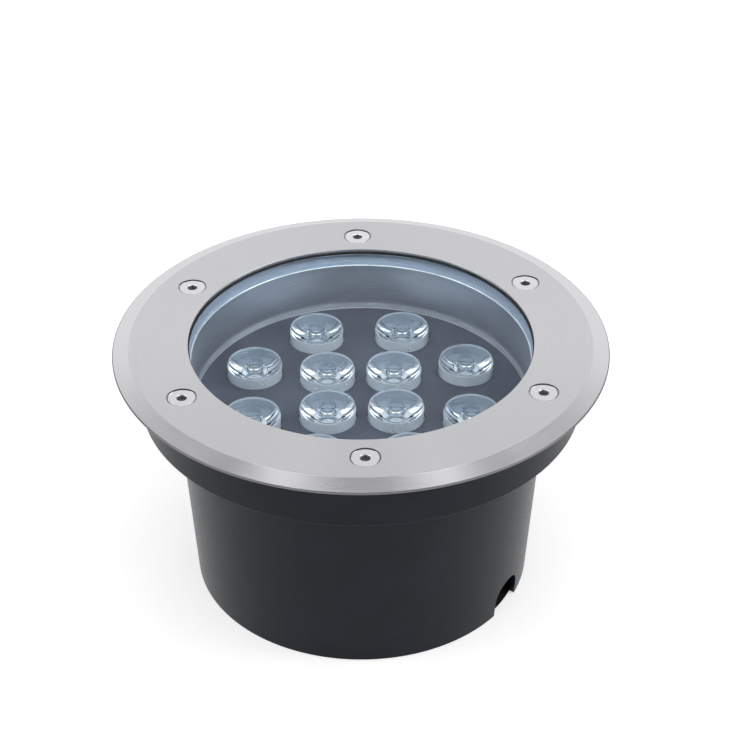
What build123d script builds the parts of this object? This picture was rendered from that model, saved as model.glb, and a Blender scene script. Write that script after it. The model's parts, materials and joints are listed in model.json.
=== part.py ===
from build123d import *
import math
import os

# Recessed ground light: a buried sleeve, a sealed lamp that drops into it,
# and a screwed trim ring with a glass.
# The origin is the centre of the sleeve's open bottom. +Z points up along the beam,
# and +X goes through the gland and the first trim screw. All sizes are in millimetres.
# Radii grow outwards from the lens layout, and heights grow upwards from the floor.

# Lenses, holders and emitters
LENS_RADIUS = 10.0
LENS_FLANGE = 1.6
LENS_EDGE_ROUND = 0.4
LENS_WELL_RADIUS = 3.2
LENS_WELL_FOOT_RADIUS = 2.6
LENS_WELL_DEPTH = 1.6
LENS_NECK = 0.5
LENS_STEM_RADIUS = 4.0
LENS_STEM_HEIGHT = 2.9
LENS_POCKET_RADIUS = 3.4
LENS_POCKET_TOP_RADIUS = 2.8
LENS_POCKET_DEPTH = 4.2
LENS_POCKET_DOME = 0.8
LENS_SIDE_BULGE = 0.3
HOLDER_RIM = 0.3
HOLDER_WALL = 0.7
HOLDER_FLOOR = 0.9
OPTIC_HEIGHT = 11.0
EMITTER_RADIUS = 3.9
EMITTER_HEIGHT = 1.5
EMITTER_DOME_RADIUS = 2.6
EMITTER_CLEARANCE = 0.3
INNER_COUNT = 4
OUTER_COUNT = 8
INNER_WEB = 3.5
RING_WEB = 4.0
PLATE_HOLE_CLEARANCE = 0.4
BOARD_TURN = 7.5

# Circuit board stack
BOARD_EDGE = 0.7
BOARD_THICKNESS = 1.6
PAD_THICKNESS = 0.5
PAD_INSET = 0.5
SPREADER_THICKNESS = 3.0
SPREADER_EDGE = 3.15
WIRE_HOLE_RADIUS = 3.0
BOARD_SCREW_COUNT = 4
SPREADER_SCREW_COUNT = 4
PLATE_THICKNESS = 1.2
PLATE_ABOVE_BOARD = 5.5

# Small pan-head screws
PAN_SHANK_RADIUS = 1.5
PAN_HEAD_RADIUS = 2.75
PAN_HEAD_HEIGHT = 2.0
PAN_CROSS_WIDTH = 0.8
PAN_CROSS_DEPTH = 1.1
PAN_SHANK_LENGTH = 6.0
PAN_HOLE_CLEARANCE = 0.1
PAN_HEAD_CLEARANCE = 0.1
PAN_TIP_ROOM = 0.5

# Bezel, glass and gaskets
SIDE_CLEARANCE = 0.3
BEZEL_WALL = 0.6
BEZEL_DEPTH = 19.5
BEZEL_COVE = 0.5
BEZEL_FOOT = 0.1
BEZEL_EDGE_ROUND = 0.45
PLATE_LEDGE = 2.3
GLASS_OVERLAP = 4.2
GLASS_THICKNESS = 8.0
GLASS_CHAMFER = 0.6
GLASS_CLEARANCE = 0.7
UPPER_GASKET = 0.8
LOWER_GASKET = 1.3
LOWER_GASKET_SETBACK = 0.5

# Trim ring
RING_THICKNESS = 2.6
RING_RIM_HEIGHT = 0.7
RING_LIP = 1.2
RING_REACH = 3.8
RING_GASKET_SETBACK = 0.4
RING_GROOVE = 0.5
RING_GROOVE_CLEARANCE = 0.3
RING_SHOULDER = 3.2
BEVEL_WIDTH = 6.0

# Countersunk trim screws
SCREW_COUNT = 6
SCREW_EDGE = 5.5
SCREW_LENGTH = 16.0
SCREW_SHANK_RADIUS = 2.5
SCREW_HEAD_RADIUS = 4.8
SCREW_HEAD_RIM = 0.2
SCREW_SINK = 0.25
SCREW_SEAT_GAP = 0.15
SCREW_HOLE_CLEARANCE = 0.1
SCREW_TIP_ROOM = 1.3
SCREW_POINT = 0.6
SOCKET_FLATS = 3.2
SOCKET_DEPTH = 1.8

# Lamp body
DRUM_WALL = 2.4
DRUM_FOOT_WALL = 2.6
FLANGE_THICKNESS = 5.0
FLANGE_EDGE = 5.5
SEAT_WALL = 2.8
SEAT_DEPTH = 3.2
BOSS_RADIUS = 5.0
BOSS_FLOOR = 2.0
BOSS_WEB = 6.0
FLOOR_THICKNESS = 4.0
POST_RADIUS = 4.2
BODY_ROUND = 2.0

# Driver
DRIVER_WIDTH = 34.0
DRIVER_LENGTH = 66.0
DRIVER_HEIGHT = 12.6
DRIVER_REACH = 6.0
DRIVER_WALL = 1.5
DRIVER_CORNER = 2.0
DRIVER_BOARD_STANDOFF = 1.5
DRIVER_BOARD_THICKNESS = 1.4
DRIVER_BOARD_CLEARANCE = 0.3
DRIVER_HEADROOM = 3.0
TRANSFORMER_WIDTH = 15.0
TRANSFORMER_LENGTH = 10.0
CAPACITOR_RADIUS = 2.6
CAPACITOR_LENGTH = 12.5
CHOKE_RADIUS = 5.5
CHOKE_BORE = 2.7
CHOKE_HEIGHT = 3.2
TRANSISTOR_WIDTH = 10.0
TRANSISTOR_LENGTH = 6.0
TRANSISTOR_HEIGHT = 3.0
COMPONENT_GAP = 4.0
COMPONENT_HEADROOM = 1.0
EAR_LENGTH = 8.0
EAR_THICKNESS = 2.5
EAR_HEIGHT = 3.0

# Leads from the driver to the LED board
LEAD_RADIUS = 0.65
LEAD_SPACING = 2.8
LEAD_REACH = 3.2
LEAD_HUMP = 2.4
LEAD_BEND = 1.3

# Cable gland
GLAND_OFFSET = 34.0
CABLE_RADIUS = 3.75
GLAND_SEAL_WALL = 1.75
GLAND_SEAL_CLEARANCE = 0.1
GLAND_SEAL_NOSE = 1.2
GLAND_BORE_CLEARANCE = 0.85
GLAND_SPIGOT_WALL = 1.8
GLAND_SPIGOT_LENGTH = 9.0
GLAND_THREAD_STEP = 0.6
GLAND_THREAD_CLEARANCE = 0.1
GLAND_BOSS_WALL = 4.5
GLAND_BOSS_HEIGHT = 4.0
GLAND_HEX_EDGE = 2.0
GLAND_HEX_HEIGHT = 5.0
GLAND_WASHER = 1.0
NUT_RUNNING_CLEARANCE = 0.25
NUT_GAP = 0.3
NUT_HEX_HEIGHT = 8.6
NUT_LENGTH = 13.7
NUT_DOME_INSET = 3.4
NUT_DOME_BULGE = 1.0
NUT_EXIT_CLEARANCE = 1.05

# Sleeve
SLEEVE_WALL = 2.0
SLEEVE_GAP = 1.3
SLEEVE_TAPER = 3.63
COLLAR_CLEARANCE = 0.6
COLLAR_ROOM = 1.5
COLLAR_ROUND = 0.8
RIM_CHAMFER = 0.5
CABLE_ROOM = 18.0
NOTCH_WIDTH = 15.6
NOTCH_HEIGHT = 12.9
NOTCH_ROUND = 7.0
NOTCH_FLARE = 0.8
NOTCH_TURN = -3.0

# Radii, from the lens layout outwards
HOLDER_RADIUS = LENS_RADIUS + HOLDER_RIM
PLATE_HOLE_RADIUS = HOLDER_RADIUS + PLATE_HOLE_CLEARANCE
INNER_CIRCLE = (2 * PLATE_HOLE_RADIUS + INNER_WEB) / (2 * math.sin(math.pi / INNER_COUNT))
OUTER_CIRCLE = INNER_CIRCLE + 2 * PLATE_HOLE_RADIUS + RING_WEB
BOARD_RADIUS = OUTER_CIRCLE + HOLDER_RADIUS + BOARD_EDGE
SPREADER_SCREW_CIRCLE = BOARD_RADIUS + PAN_HEAD_RADIUS + PAN_HEAD_CLEARANCE
SPREADER_RADIUS = SPREADER_SCREW_CIRCLE + SPREADER_EDGE
BODY_LOWER_BORE = SPREADER_RADIUS + SIDE_CLEARANCE
BODY_UPPER_BORE = BODY_LOWER_BORE + PLATE_LEDGE
PLATE_RADIUS = BODY_UPPER_BORE - SIDE_CLEARANCE
BEZEL_OUTER = PLATE_RADIUS
BEZEL_INNER = BEZEL_OUTER - BEZEL_WALL
DRUM_RADIUS = BODY_UPPER_BORE + DRUM_WALL
GLASS_RADIUS = BEZEL_OUTER + GLASS_OVERLAP
SEAT_RADIUS = GLASS_RADIUS + GLASS_CLEARANCE
GASKET_OUTER = SEAT_RADIUS - SIDE_CLEARANCE
LOWER_GASKET_INNER = BEZEL_INNER + LOWER_GASKET_SETBACK
RING_OPENING = GLASS_RADIUS - RING_REACH
UPPER_GASKET_INNER = RING_OPENING - RING_GASKET_SETBACK
SCREW_CIRCLE = SEAT_RADIUS + SCREW_EDGE
FLANGE_RADIUS = SCREW_CIRCLE + FLANGE_EDGE
COLLAR_INNER = FLANGE_RADIUS + COLLAR_CLEARANCE
COLLAR_OUTER = COLLAR_INNER + SLEEVE_WALL
RING_FLAT = COLLAR_OUTER + RING_SHOULDER
RING_RADIUS = RING_FLAT + BEVEL_WIDTH
BOARD_SCREW_CIRCLE = (INNER_CIRCLE + OUTER_CIRCLE) / 2

# Radii of the gland, from the cable outwards
GLAND_SEAL_RADIUS = CABLE_RADIUS + GLAND_SEAL_WALL
GLAND_SEAL_BORE = GLAND_SEAL_RADIUS + GLAND_SEAL_CLEARANCE
GLAND_SPIGOT_RADIUS = GLAND_SEAL_BORE + GLAND_SPIGOT_WALL
GLAND_THREAD_RADIUS = GLAND_SPIGOT_RADIUS + GLAND_THREAD_STEP
GLAND_TAP_RADIUS = GLAND_THREAD_RADIUS + GLAND_THREAD_CLEARANCE
GLAND_BOSS_RADIUS = GLAND_THREAD_RADIUS + GLAND_BOSS_WALL
GLAND_HEX_RADIUS = GLAND_THREAD_RADIUS + GLAND_HEX_EDGE
NUT_DOME_RADIUS = GLAND_HEX_RADIUS - NUT_DOME_INSET

# Heights, from the ground upwards
NUT_BOTTOM = CABLE_ROOM
HEX_BOTTOM = NUT_BOTTOM + NUT_LENGTH + NUT_GAP
HEX_TOP = HEX_BOTTOM + GLAND_HEX_HEIGHT
BODY_BOTTOM = HEX_TOP + GLAND_WASHER
BODY_FLOOR = BODY_BOTTOM + FLOOR_THICKNESS
DRIVER_TOP = BODY_FLOOR + DRIVER_HEIGHT
SPREADER_BOTTOM = DRIVER_TOP + DRIVER_HEADROOM
SPREADER_TOP = SPREADER_BOTTOM + SPREADER_THICKNESS
PAD_TOP = SPREADER_TOP + PAD_THICKNESS
BOARD_TOP = PAD_TOP + BOARD_THICKNESS
OPTIC_TOP = BOARD_TOP + OPTIC_HEIGHT
HOLDER_TOP = OPTIC_TOP - LENS_FLANGE
PLATE_TOP = BOARD_TOP + PLATE_ABOVE_BOARD
PLATE_BOTTOM = PLATE_TOP - PLATE_THICKNESS
BEZEL_TOP = PLATE_TOP + BEZEL_DEPTH
SEAT_HEIGHT = BEZEL_TOP - BEZEL_WALL
GLASS_BOTTOM = BEZEL_TOP + LOWER_GASKET
GLASS_TOP = GLASS_BOTTOM + GLASS_THICKNESS
LIP_BOTTOM = GLASS_TOP + UPPER_GASKET
RING_TOP = LIP_BOTTOM + RING_LIP
RING_BOTTOM = RING_TOP - RING_THICKNESS
SCREW_TOP = RING_TOP - SCREW_SINK
SCREW_TIP = SCREW_TOP - SCREW_LENGTH
BOSS_BOTTOM = SCREW_TIP - SCREW_TIP_ROOM - BOSS_FLOOR
COLLAR_FLOOR = BOSS_BOTTOM - COLLAR_ROOM
COLLAR_BOTTOM = COLLAR_FLOOR - SLEEVE_WALL
COLLAR_TOP = RING_BOTTOM + RING_GROOVE
FLANGE_BOTTOM = RING_BOTTOM - FLANGE_THICKNESS
SEAT_BOTTOM = SEAT_HEIGHT - SEAT_DEPTH
EAR_BOTTOM = BODY_FLOOR + EAR_HEIGHT
DRIVER_LID_BOTTOM = DRIVER_TOP - DRIVER_WALL
DRIVER_BOARD_BOTTOM = BODY_FLOOR + DRIVER_WALL + DRIVER_BOARD_STANDOFF
DRIVER_BOARD_TOP = DRIVER_BOARD_BOTTOM + DRIVER_BOARD_THICKNESS

# The driver lies to one side of the axis, so that its edge just covers the wire hole
DRIVER_X = DRIVER_REACH - DRIVER_WIDTH / 2

# A margin by which cutting shapes run past the faces that they cut
PAST = 1.0
UP = (Align.CENTER, Align.CENTER, Align.MIN)


def turned(*points):
    """A solid of revolution about Z from a closed outline of (radius, height) points."""
    return revolve(Plane.XZ * make_face(Polyline(*points, close=True)), Axis.Z)


def disc(radius, bottom, top, x=0.0, y=0.0):
    return Pos(x, y, bottom) * Cylinder(radius, top - bottom, align=UP)


def washer(outer, inner, bottom, top, x=0.0, y=0.0):
    return disc(outer, bottom, top, x, y) - disc(inner, bottom - PAST, top + PAST, x, y)


def hexagon(across_flats, bottom, top, x=0.0, y=0.0):
    outline = RegularPolygon(across_flats / 2, 6, major_radius=False)
    return Pos(x, y, bottom) * extrude(outline, top - bottom)


def around(radius, count, first=0.0):
    """Points spread evenly on a circle, as (x, y), the first at the given angle in degrees."""
    angles = [math.radians(first + 360 * k / count) for k in range(count)]
    return [(radius * math.cos(a), radius * math.sin(a)) for a in angles]


def optic_places():
    """Centres of all the lenses: the outer circle, then the inner one half a step round."""
    step = 360 / OUTER_COUNT
    outer = around(OUTER_CIRCLE, OUTER_COUNT, BOARD_TURN)
    inner = around(INNER_CIRCLE, INNER_COUNT, BOARD_TURN + step / 2 + step)
    return outer + inner


def spreader_screw_places():
    return around(SPREADER_SCREW_CIRCLE, SPREADER_SCREW_COUNT, 180 / SPREADER_SCREW_COUNT)


def board_screw_places():
    """Board screws sit between the lenses, on the radius of a gap in both circles."""
    step = 360 / OUTER_COUNT
    return around(BOARD_SCREW_CIRCLE, BOARD_SCREW_COUNT, BOARD_TURN + step / 2)


def driver_screw_places():
    y = DRIVER_LENGTH / 2 + EAR_LENGTH / 2
    return [(DRIVER_X, y), (DRIVER_X, -y)]


def trim_screw_places():
    return around(SCREW_CIRCLE, SCREW_COUNT)


def screw_sink():
    """Cone of a countersunk screw's seat, open at the ring's face, on the Z axis."""
    mouth = SCREW_HEAD_RADIUS + SCREW_HEAD_RIM + SCREW_SINK + SCREW_SEAT_GAP
    return turned((0, RING_TOP - mouth), (mouth + PAST, RING_TOP + PAST), (0, RING_TOP + PAST))


def sleeve():
    """Open-bottomed tapered pot: a wide collar for the lamp's flange, an arched cable notch in its rim."""
    slope = math.tan(math.radians(SLEEVE_TAPER))
    wall_inner = DRUM_RADIUS + SLEEVE_GAP
    wall_outer = wall_inner + SLEEVE_WALL
    foot_outer = wall_outer - slope * COLLAR_BOTTOM
    foot_inner = wall_inner - slope * COLLAR_FLOOR
    pot = turned(
        (foot_outer, 0),
        (wall_outer, COLLAR_BOTTOM),
        (COLLAR_OUTER, COLLAR_BOTTOM),
        (COLLAR_OUTER, COLLAR_TOP - RIM_CHAMFER),
        (COLLAR_OUTER - RIM_CHAMFER, COLLAR_TOP),
        (COLLAR_INNER, COLLAR_TOP),
        (COLLAR_INNER, COLLAR_FLOOR),
        (wall_inner, COLLAR_FLOOR),
        (foot_inner, 0),
    )
    collar_edges = pot.edges().filter_by(GeomType.CIRCLE).group_by(SortBy.RADIUS)[-1]
    pot = fillet(collar_edges.sort_by(Axis.Z)[0], COLLAR_ROUND)
    opening = Rectangle(NOTCH_WIDTH, 2 * NOTCH_HEIGHT)
    opening = fillet(opening.vertices(), NOTCH_ROUND)
    pot -= Rot(0, 0, NOTCH_TURN) * (Plane.YZ * extrude(opening, wall_outer + PAST))
    notch_corners = pot.edges().filter_by(GeomType.LINE).group_by(Axis.Z)[0]
    return fillet(notch_corners, NOTCH_FLARE)


def lamp_body():
    """Cast cup: flange with screw bosses, glass seat, plate ledge, posts, floor with a gland boss."""
    foot_radius = BODY_LOWER_BORE + DRUM_FOOT_WALL
    cup = turned(
        (0, BODY_BOTTOM),
        (foot_radius, BODY_BOTTOM),
        (DRUM_RADIUS, SEAT_BOTTOM - SEAT_WALL),
        (SEAT_RADIUS + SEAT_WALL, SEAT_BOTTOM),
        (SEAT_RADIUS + SEAT_WALL, FLANGE_BOTTOM),
        (FLANGE_RADIUS, FLANGE_BOTTOM),
        (FLANGE_RADIUS, RING_BOTTOM),
        (SEAT_RADIUS, RING_BOTTOM),
        (SEAT_RADIUS, SEAT_HEIGHT),
        (BODY_UPPER_BORE, SEAT_HEIGHT),
        (BODY_UPPER_BORE, PLATE_BOTTOM),
        (BODY_LOWER_BORE, PLATE_BOTTOM),
        (BODY_LOWER_BORE, BODY_FLOOR),
        (0, BODY_FLOOR),
    )
    foot_edge = cup.edges().filter_by(GeomType.CIRCLE).group_by(Axis.Z)[0]
    cup = fillet(foot_edge, BODY_ROUND)
    bore = disc(SEAT_RADIUS, SEAT_HEIGHT, RING_BOTTOM) + disc(BODY_UPPER_BORE, BODY_BOTTOM, RING_BOTTOM)
    for k, (x, y) in enumerate(trim_screw_places()):
        web = Pos(SCREW_CIRCLE / 2, 0, BOSS_BOTTOM) * Box(
            SCREW_CIRCLE, BOSS_WEB, FLANGE_BOTTOM - BOSS_BOTTOM, align=UP
        )
        boss = disc(BOSS_RADIUS, BOSS_BOTTOM, FLANGE_BOTTOM, x, y) + Rot(0, 0, 360 * k / SCREW_COUNT) * web
        cup += boss - bore
    for x, y in spreader_screw_places():
        cup += disc(POST_RADIUS, BODY_FLOOR, SPREADER_BOTTOM, x, y) & disc(
            BODY_LOWER_BORE + DRUM_FOOT_WALL / 2, BODY_FLOOR, SPREADER_BOTTOM
        )
    for x, y in driver_screw_places():
        cup += disc(EAR_LENGTH / 2, BODY_FLOOR, EAR_BOTTOM, x, y)
    cup += disc(GLAND_BOSS_RADIUS, BODY_FLOOR, BODY_FLOOR + GLAND_BOSS_HEIGHT, GLAND_OFFSET)
    tap = SCREW_SHANK_RADIUS + SCREW_HOLE_CLEARANCE
    for x, y in trim_screw_places():
        cup -= disc(tap, SCREW_TIP - SCREW_TIP_ROOM, RING_BOTTOM + PAST, x, y) + Pos(x, y, 0) * screw_sink()
    pan_tap = PAN_SHANK_RADIUS + PAN_HOLE_CLEARANCE
    for x, y in spreader_screw_places():
        cup -= disc(pan_tap, SPREADER_TOP - PAN_SHANK_LENGTH - PAN_TIP_ROOM, SPREADER_BOTTOM + PAST, x, y)
    for x, y in driver_screw_places():
        ear_top = EAR_BOTTOM + EAR_THICKNESS
        cup -= disc(pan_tap, ear_top - PAN_SHANK_LENGTH - PAN_TIP_ROOM, ear_top, x, y)
    return cup - disc(GLAND_TAP_RADIUS, BODY_BOTTOM - PAST, SPREADER_BOTTOM, GLAND_OFFSET)


def inner_bezel():
    """Thin wall between the glass seat and the face plate: a flange on top, a hollow curve into its foot."""
    foot_inner = BEZEL_INNER - BEZEL_COVE - BEZEL_FOOT
    foot_top = PLATE_TOP + BEZEL_FOOT
    outline = make_face(Polyline(
        (foot_inner, PLATE_TOP),
        (BEZEL_OUTER, PLATE_TOP),
        (BEZEL_OUTER, SEAT_HEIGHT),
        (GASKET_OUTER, SEAT_HEIGHT),
        (GASKET_OUTER, BEZEL_TOP),
        (BEZEL_INNER, BEZEL_TOP),
        (BEZEL_INNER, foot_top),
        (foot_inner, foot_top),
        close=True,
    ))
    outline = fillet(outline.vertices().sort_by_distance((BEZEL_INNER, foot_top))[0], BEZEL_COVE)
    outline = fillet(outline.vertices().sort_by_distance((BEZEL_INNER, BEZEL_TOP))[0], BEZEL_EDGE_ROUND)
    return revolve(Plane.XZ * outline, Axis.Z)


def face_plate():
    plate = disc(PLATE_RADIUS, PLATE_BOTTOM, PLATE_TOP)
    for x, y in optic_places():
        plate -= disc(PLATE_HOLE_RADIUS, PLATE_BOTTOM - PAST, PLATE_TOP + PAST, x, y)
    return plate


def drilled_disc(radius, bottom, top, hole_places):
    """A disc with the wire hole in its middle and a screw hole at each place."""
    sheet = washer(radius, WIRE_HOLE_RADIUS, bottom, top)
    for x, y in hole_places:
        sheet -= disc(PAN_SHANK_RADIUS + PAN_HOLE_CLEARANCE, bottom - PAST, top + PAST, x, y)
    return sheet


def led_board():
    return drilled_disc(BOARD_RADIUS, PAD_TOP, BOARD_TOP, board_screw_places())


def thermal_pad():
    return drilled_disc(BOARD_RADIUS - PAD_INSET, SPREADER_TOP, PAD_TOP, board_screw_places())


def heat_spreader():
    holes = board_screw_places() + spreader_screw_places()
    return drilled_disc(SPREADER_RADIUS, SPREADER_BOTTOM, SPREADER_TOP, holes)


def pan_screw(x, y, seat, shank_length):
    """A small pan-head screw with a cross recess, its head resting on the seat height."""
    head = disc(PAN_HEAD_RADIUS, seat, seat + PAN_HEAD_HEIGHT, x, y)
    head = fillet(head.edges().group_by(Axis.Z)[-1], PAN_HEAD_HEIGHT / 2)
    shank = disc(PAN_SHANK_RADIUS, seat - shank_length, seat, x, y)
    recess_place = Pos(x, y, seat + PAN_HEAD_HEIGHT - PAN_CROSS_DEPTH)
    slot = Box(PAN_HEAD_RADIUS, PAN_CROSS_WIDTH, 2 * PAN_CROSS_DEPTH, align=UP)
    return head + shank - recess_place * slot - recess_place * Rot(0, 0, 90) * slot


def pan_screws(places, seat, shank_length):
    return Compound(children=[pan_screw(x, y, seat, shank_length) for x, y in places])


def emitter(x, y):
    """LED package: a round base with a clear dome."""
    base_top = BOARD_TOP + EMITTER_HEIGHT
    base = disc(EMITTER_RADIUS, BOARD_TOP, base_top, x, y)
    ball = Pos(x, y, base_top) * Sphere(EMITTER_DOME_RADIUS)
    return base + (ball & disc(EMITTER_RADIUS, base_top, OPTIC_TOP, x, y))


def lens(x, y):
    """Collimator: a flat flange with a well, a reflecting cone on a stem, a pocket over the emitter."""
    foot = BOARD_TOP + EMITTER_HEIGHT + EMITTER_CLEARANCE
    pocket_middle = (0, foot + LENS_POCKET_DEPTH - LENS_POCKET_DOME)
    pocket_edge = (LENS_POCKET_TOP_RADIUS, foot + LENS_POCKET_DEPTH)
    well_foot = OPTIC_TOP - LENS_WELL_DEPTH
    side_foot = (LENS_STEM_RADIUS, foot + LENS_STEM_HEIGHT)
    side_top = (LENS_RADIUS - LENS_NECK, HOLDER_TOP)
    outline = [
        TangentArc(pocket_middle, pocket_edge, tangent=(1, 0)),
        Line(pocket_edge, (LENS_POCKET_RADIUS, foot)),
        Line((LENS_POCKET_RADIUS, foot), (LENS_STEM_RADIUS, foot)),
        Line((LENS_STEM_RADIUS, foot), side_foot),
        SagittaArc(side_foot, side_top, -LENS_SIDE_BULGE),
        Line(side_top, (LENS_RADIUS, HOLDER_TOP)),
        Line((LENS_RADIUS, HOLDER_TOP), (LENS_RADIUS, OPTIC_TOP)),
        Line((LENS_RADIUS, OPTIC_TOP), (LENS_WELL_RADIUS, OPTIC_TOP)),
        Line((LENS_WELL_RADIUS, OPTIC_TOP), (LENS_WELL_FOOT_RADIUS, well_foot)),
        Line((LENS_WELL_FOOT_RADIUS, well_foot), (0, well_foot)),
        Line((0, well_foot), pocket_middle),
    ]
    optic = revolve(Plane.XZ * make_face(outline), Axis.Z)
    top_rim = optic.edges().filter_by(GeomType.CIRCLE).group_by(Axis.Z)[-1].sort_by(SortBy.RADIUS)[-1]
    return Pos(x, y, 0) * fillet(top_rim, LENS_EDGE_ROUND)


def lens_holder(x, y):
    """Clear cup glued to the board, whose rim carries the lens's flange."""
    cup = disc(HOLDER_RADIUS, BOARD_TOP, HOLDER_TOP, x, y)
    cup -= disc(HOLDER_RADIUS - HOLDER_WALL, BOARD_TOP + HOLDER_FLOOR, HOLDER_TOP + PAST, x, y)
    return cup - disc(EMITTER_RADIUS + EMITTER_CLEARANCE, BOARD_TOP - PAST, OPTIC_TOP, x, y)


def driver_block(width, length, bottom, top, corner):
    """A block with rounded upright edges on the driver's centre."""
    outline = RectangleRounded(width, length, corner)
    return Pos(DRIVER_X, 0, bottom) * extrude(outline, top - bottom)


def driver_case():
    """Open tray with a rib round its floor for the circuit board and a screw ear at each end."""
    tray_floor = BODY_FLOOR + DRIVER_WALL
    inner_width = DRIVER_WIDTH - 2 * DRIVER_WALL
    inner_length = DRIVER_LENGTH - 2 * DRIVER_WALL
    inner_corner = DRIVER_WALL / 2
    rib_width = inner_width - 2 * DRIVER_WALL
    rib_length = inner_length - 2 * DRIVER_WALL
    case = driver_block(DRIVER_WIDTH, DRIVER_LENGTH, BODY_FLOOR, DRIVER_LID_BOTTOM, DRIVER_CORNER)
    case -= driver_block(inner_width, inner_length, DRIVER_BOARD_BOTTOM, DRIVER_TOP, inner_corner)
    case -= driver_block(rib_width, rib_length, tray_floor, DRIVER_TOP, inner_corner)
    for x, y in driver_screw_places():
        side = math.copysign(1, y)
        inner_end = side * (DRIVER_LENGTH / 2 - DRIVER_WALL / 2)
        ear = disc(EAR_LENGTH / 2, EAR_BOTTOM, EAR_BOTTOM + EAR_THICKNESS, x, y)
        ear += Pos(x, (y + inner_end) / 2, EAR_BOTTOM) * Box(
            EAR_LENGTH, abs(y - inner_end), EAR_THICKNESS, align=UP
        )
        case += ear
        case -= disc(PAN_SHANK_RADIUS + PAN_HOLE_CLEARANCE, BODY_FLOOR, DRIVER_TOP, x, y)
    return case


def driver_board():
    width = DRIVER_WIDTH - 2 * (DRIVER_WALL + DRIVER_BOARD_CLEARANCE)
    length = DRIVER_LENGTH - 2 * (DRIVER_WALL + DRIVER_BOARD_CLEARANCE)
    return driver_block(width, length, DRIVER_BOARD_BOTTOM, DRIVER_BOARD_TOP, DRIVER_WALL / 4)


def driver_components():
    """Transformer, capacitor, choke and transistor in a row along the circuit board."""
    transformer_height = DRIVER_LID_BOTTOM - DRIVER_BOARD_TOP - COMPONENT_HEADROOM
    transformer = Box(TRANSFORMER_WIDTH, TRANSFORMER_LENGTH, transformer_height, align=UP)
    capacitor = Pos(0, 0, CAPACITOR_RADIUS) * Rot(0, 90, 0) * Cylinder(CAPACITOR_RADIUS, CAPACITOR_LENGTH)
    choke = washer(CHOKE_RADIUS, CHOKE_BORE, 0, CHOKE_HEIGHT)
    transistor = Box(TRANSISTOR_WIDTH, TRANSISTOR_LENGTH, TRANSISTOR_HEIGHT, align=UP)
    row = [
        (transformer, TRANSFORMER_LENGTH),
        (capacitor, 2 * CAPACITOR_RADIUS),
        (choke, 2 * CHOKE_RADIUS),
        (transistor, TRANSISTOR_LENGTH),
    ]
    y = -(sum(length for _, length in row) + COMPONENT_GAP * (len(row) - 1)) / 2
    placed = []
    for component, length in row:
        placed.append(Pos(DRIVER_X, y + length / 2, DRIVER_BOARD_TOP) * component)
        y += length + COMPONENT_GAP
    return Compound(children=placed)


def driver_lid():
    lid = driver_block(DRIVER_WIDTH, DRIVER_LENGTH, DRIVER_LID_BOTTOM, DRIVER_TOP, DRIVER_CORNER)
    return lid - disc(WIRE_HOLE_RADIUS, DRIVER_LID_BOTTOM - PAST, DRIVER_TOP + PAST)


def lead(side):
    """An insulated wire from the driver's board up through the wire hole, over and down to a solder pad."""
    near = side * LEAD_SPACING / 2
    far = near + side * LEAD_REACH
    hump = BOARD_TOP + LEAD_HUMP
    route = FilletPolyline(
        (0, near, DRIVER_BOARD_TOP), (0, near, hump), (0, far, hump), (0, far, BOARD_TOP), radius=LEAD_BEND
    )
    return sweep(Plane(route @ 0, z_dir=route % 0) * Circle(LEAD_RADIUS), path=route)


def gland_body():
    """Threaded nipple with a hex collar and a spigot for the dome nut, stepped inside for the seal."""
    thread_top = BODY_FLOOR + GLAND_BOSS_HEIGHT
    spigot_bottom = HEX_BOTTOM - GLAND_SPIGOT_LENGTH
    bore = CABLE_RADIUS + GLAND_BORE_CLEARANCE
    body = hexagon(2 * GLAND_HEX_RADIUS, HEX_BOTTOM, HEX_TOP, GLAND_OFFSET)
    body += disc(GLAND_THREAD_RADIUS, HEX_TOP, thread_top, GLAND_OFFSET)
    body += disc(GLAND_SPIGOT_RADIUS, spigot_bottom, HEX_BOTTOM, GLAND_OFFSET)
    body -= disc(bore, spigot_bottom - PAST, thread_top + PAST, GLAND_OFFSET)
    return body - disc(GLAND_SEAL_BORE, spigot_bottom - PAST, HEX_BOTTOM, GLAND_OFFSET)


def gland_washer():
    return washer(GLAND_HEX_RADIUS, GLAND_TAP_RADIUS, HEX_TOP, BODY_BOTTOM, GLAND_OFFSET)


def gland_seal():
    bottom = HEX_BOTTOM - GLAND_SPIGOT_LENGTH - GLAND_SEAL_NOSE
    return washer(GLAND_SEAL_RADIUS, CABLE_RADIUS, bottom, HEX_BOTTOM, GLAND_OFFSET)


def gland_nut():
    """Dome nut: a hex with a rounded nose, hollow for the spigot and the seal's end."""
    top = HEX_BOTTOM - NUT_GAP
    hex_bottom = top - NUT_HEX_HEIGHT
    bore_bottom = HEX_BOTTOM - GLAND_SPIGOT_LENGTH - GLAND_SEAL_NOSE - NUT_GAP
    nose_outline = [
        Line((0, NUT_BOTTOM), (NUT_DOME_RADIUS, NUT_BOTTOM)),
        SagittaArc((NUT_DOME_RADIUS, NUT_BOTTOM), (GLAND_HEX_RADIUS, hex_bottom), -NUT_DOME_BULGE),
        Line((GLAND_HEX_RADIUS, hex_bottom), (0, hex_bottom)),
        Line((0, hex_bottom), (0, NUT_BOTTOM)),
    ]
    nose = revolve(Plane.XZ * make_face(nose_outline), Axis.Z)
    nut = hexagon(2 * GLAND_HEX_RADIUS, hex_bottom, top, GLAND_OFFSET) + Pos(GLAND_OFFSET, 0, 0) * nose
    nut -= disc(GLAND_SPIGOT_RADIUS + NUT_RUNNING_CLEARANCE, bore_bottom, top + PAST, GLAND_OFFSET)
    return nut - disc(CABLE_RADIUS + NUT_EXIT_CLEARANCE, NUT_BOTTOM - PAST, top, GLAND_OFFSET)


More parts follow.
